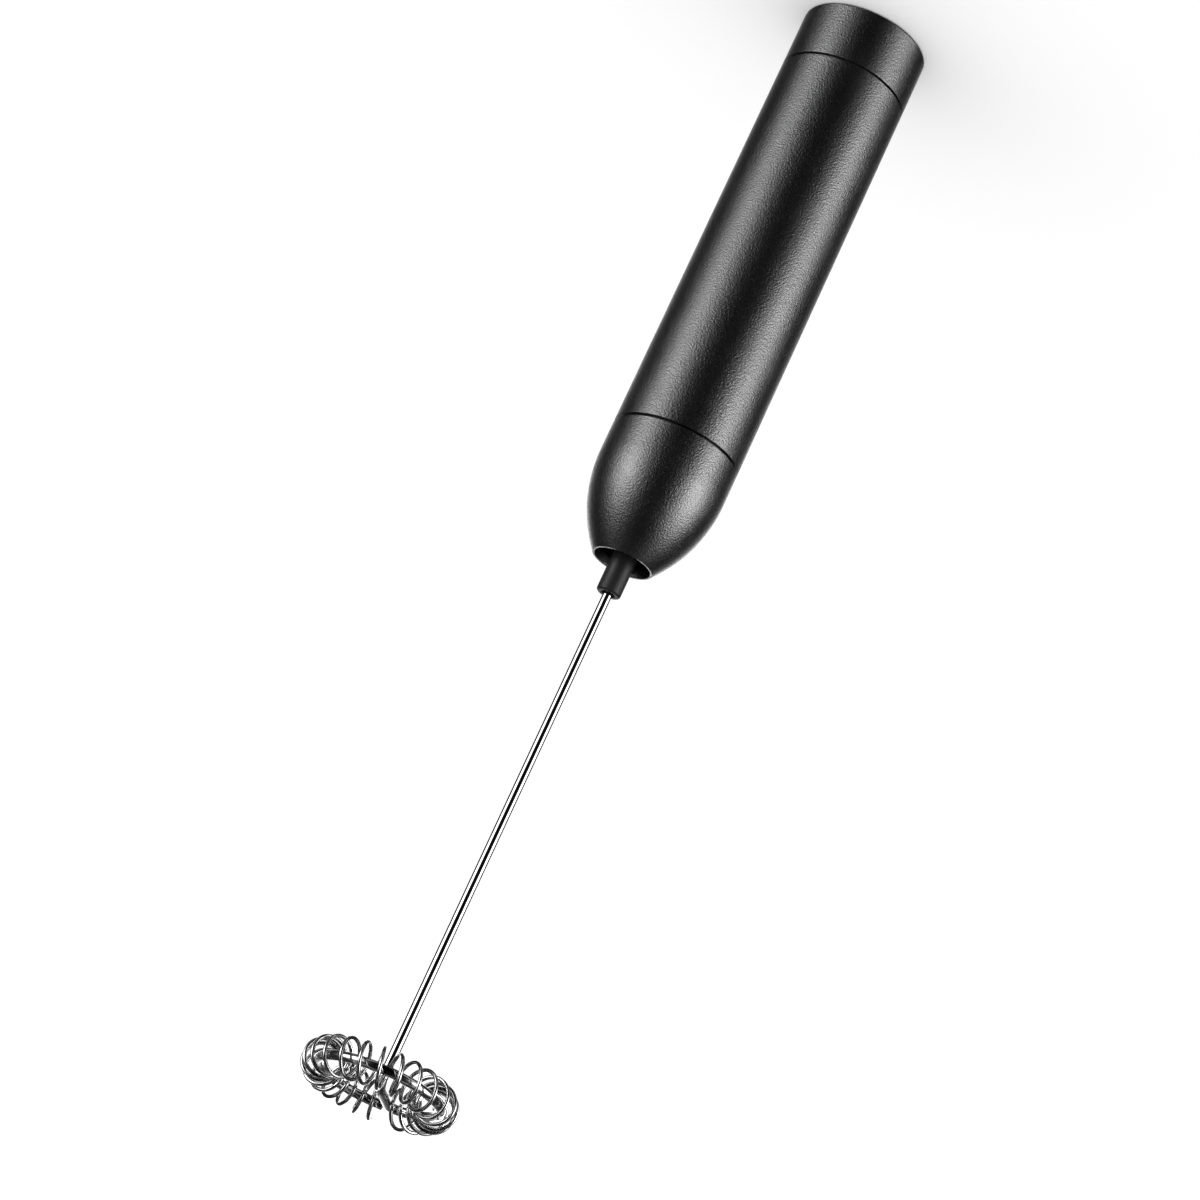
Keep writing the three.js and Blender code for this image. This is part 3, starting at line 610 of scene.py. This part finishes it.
# ---- Studio ----
CAMERA_PLACE = Vector((0.0009, -0.6798, 0.3677))
CAMERA_DIP = math.radians(18.81)
CAMERA_ROLL = math.radians(-155.05)
CAMERA_LENS = 109.5


def add_camera():
    data = bpy.data.cameras.new("camera")
    data.lens = CAMERA_LENS
    data.sensor_width = 36
    data.clip_start = 0.01
    camera = bpy.data.objects.new("camera", data)
    facing = Matrix.Rotation(math.radians(90) - CAMERA_DIP, 4, "X")
    camera.matrix_world = Matrix.Translation(CAMERA_PLACE) @ facing @ Matrix.Rotation(CAMERA_ROLL, 4, "Z")
    bpy.context.scene.collection.objects.link(camera)
    bpy.context.scene.camera = camera


def add_floor():
    size = 12
    corners = [(-size, -size, 0), (size, -size, 0), (size, size, 0), (-size, size, 0)]
    floor = new_object("floor", corners, [[0, 1, 2, 3]])
    floor.location.z = -0.1 * MM
    floor.visible_glossy = False
    material, tree, shader = shader_nodes("floor_paper")
    shader.inputs["Base Color"].default_value = (0.9, 0.9, 0.9, 1)
    shader.inputs["Roughness"].default_value = 1
    shader.inputs["Specular IOR Level"].default_value = 0
    floor.data.materials.append(material)


def add_sky_light(name, direction, softness, strength):
    data = bpy.data.lights.new(name, "SUN")
    data.angle = math.radians(softness)
    data.energy = strength
    light = bpy.data.objects.new(name, data)
    light.rotation_euler = (-Vector(direction)).to_track_quat("-Z", "Y").to_euler()
    light.visible_glossy = False
    bpy.context.scene.collection.objects.link(light)


# Each soft strip of the studio: direction round the object from -Y towards -X, half width, brightness.
STRIPS = [(67, 14, 21.0), (-62, 14, 17.0), (180, 20, 7.0)]
STRIP_HEIGHT = -6
STRIP_HALF_HEIGHT = 19
STRIP_FOOT = 0.06
STRIP_TOP = 0.03
STUDIO_GLOW = 0.05
CAMERA_SIDE = 42


def add_world():
    """A pale world for the camera and the diffuse light, with soft strips that only glossy surfaces see."""
    world = bpy.data.worlds.new("studio")
    bpy.context.scene.world = world
    world.use_nodes = True
    tree = world.node_tree
    tree.nodes.clear()

    def node(kind, **settings):
        made = tree.nodes.new(kind)
        for key, value in settings.items():
            setattr(made, key, value)
        return made

    def maths(operation, one, two=0.0):
        made = node("ShaderNodeMath", operation=operation)
        for socket, value in zip(made.inputs, (one, two)):
            if isinstance(value, (int, float)):
                socket.default_value = value
            else:
                tree.links.new(value, socket)
        return made.outputs[0]

    coordinates = node("ShaderNodeTexCoord")
    split = node("ShaderNodeSeparateXYZ")
    tree.links.new(coordinates.outputs["Generated"], split.inputs[0])
    across = maths("MULTIPLY", split.outputs["X"], -1.0)
    toward = maths("MULTIPLY", split.outputs["Y"], -1.0)
    angle = maths("ARCTAN2", across, toward)

    def lobe(centre, width):
        away = maths("SUBTRACT", angle, math.radians(centre))
        away = maths("ARCTAN2", maths("SINE", away), maths("COSINE", away))
        share = maths("DIVIDE", away, math.radians(width))
        return maths("EXPONENT", maths("MULTIPLY", maths("MULTIPLY", share, share), -1.0))

    rise = maths("SUBTRACT", maths("ARCSINE", split.outputs["Z"]), math.radians(STRIP_HEIGHT))
    share = maths("DIVIDE", rise, math.radians(STRIP_HALF_HEIGHT))
    band = maths("EXPONENT", maths("MULTIPLY", maths("MULTIPLY", share, share), -1.0))
    edge = maths("DIVIDE", 1.0, maths("ADD", 1.0, maths("EXPONENT", maths("MULTIPLY", share, 2.0))))
    rest = maths("ADD", maths("MULTIPLY", edge, STRIP_FOOT - STRIP_TOP), STRIP_TOP)
    height = maths("MAXIMUM", band, rest)
    total = 0.0
    for centre, width, strength in STRIPS:
        total = maths("ADD", total, maths("MULTIPLY", lobe(centre, width), strength))
    total = maths("MULTIPLY", total, height)
    dark = maths("SUBTRACT", 1.0, lobe(0, CAMERA_SIDE))
    total = maths("ADD", total, maths("MULTIPLY", dark, STUDIO_GLOW))
    rays = node("ShaderNodeLightPath")
    strips = node("ShaderNodeBackground")
    tree.links.new(total, strips.inputs["Strength"])
    pale = node("ShaderNodeBackground")
    pale.inputs["Color"].default_value = (1, 1, 1, 1)
    pale.inputs["Strength"].default_value = 0.95
    mix = node("ShaderNodeMixShader")
    tree.links.new(rays.outputs["Is Glossy Ray"], mix.inputs["Fac"])
    tree.links.new(pale.outputs[0], mix.inputs[1])
    tree.links.new(strips.outputs[0], mix.inputs[2])
    out = node("ShaderNodeOutputWorld")
    tree.links.new(mix.outputs[0], out.inputs["Surface"])


def add_lights():
    add_sky_light("key", (-0.35, 0.3, 1), 60, 0.5)
    add_sky_light("fill", (0.6, -0.3, 1), 60, 0.25)


add_camera()
bpy.context.scene.view_settings.view_transform = "Standard"
add_floor()
add_world()
add_lights()
dress_frame()
build_barrel()
build_collar()
build_end_cap()
build_seal()
build_button()
build_button_spring()
build_nose()
build_sleeve()
build_whisk_rod()
build_whisk_coil()
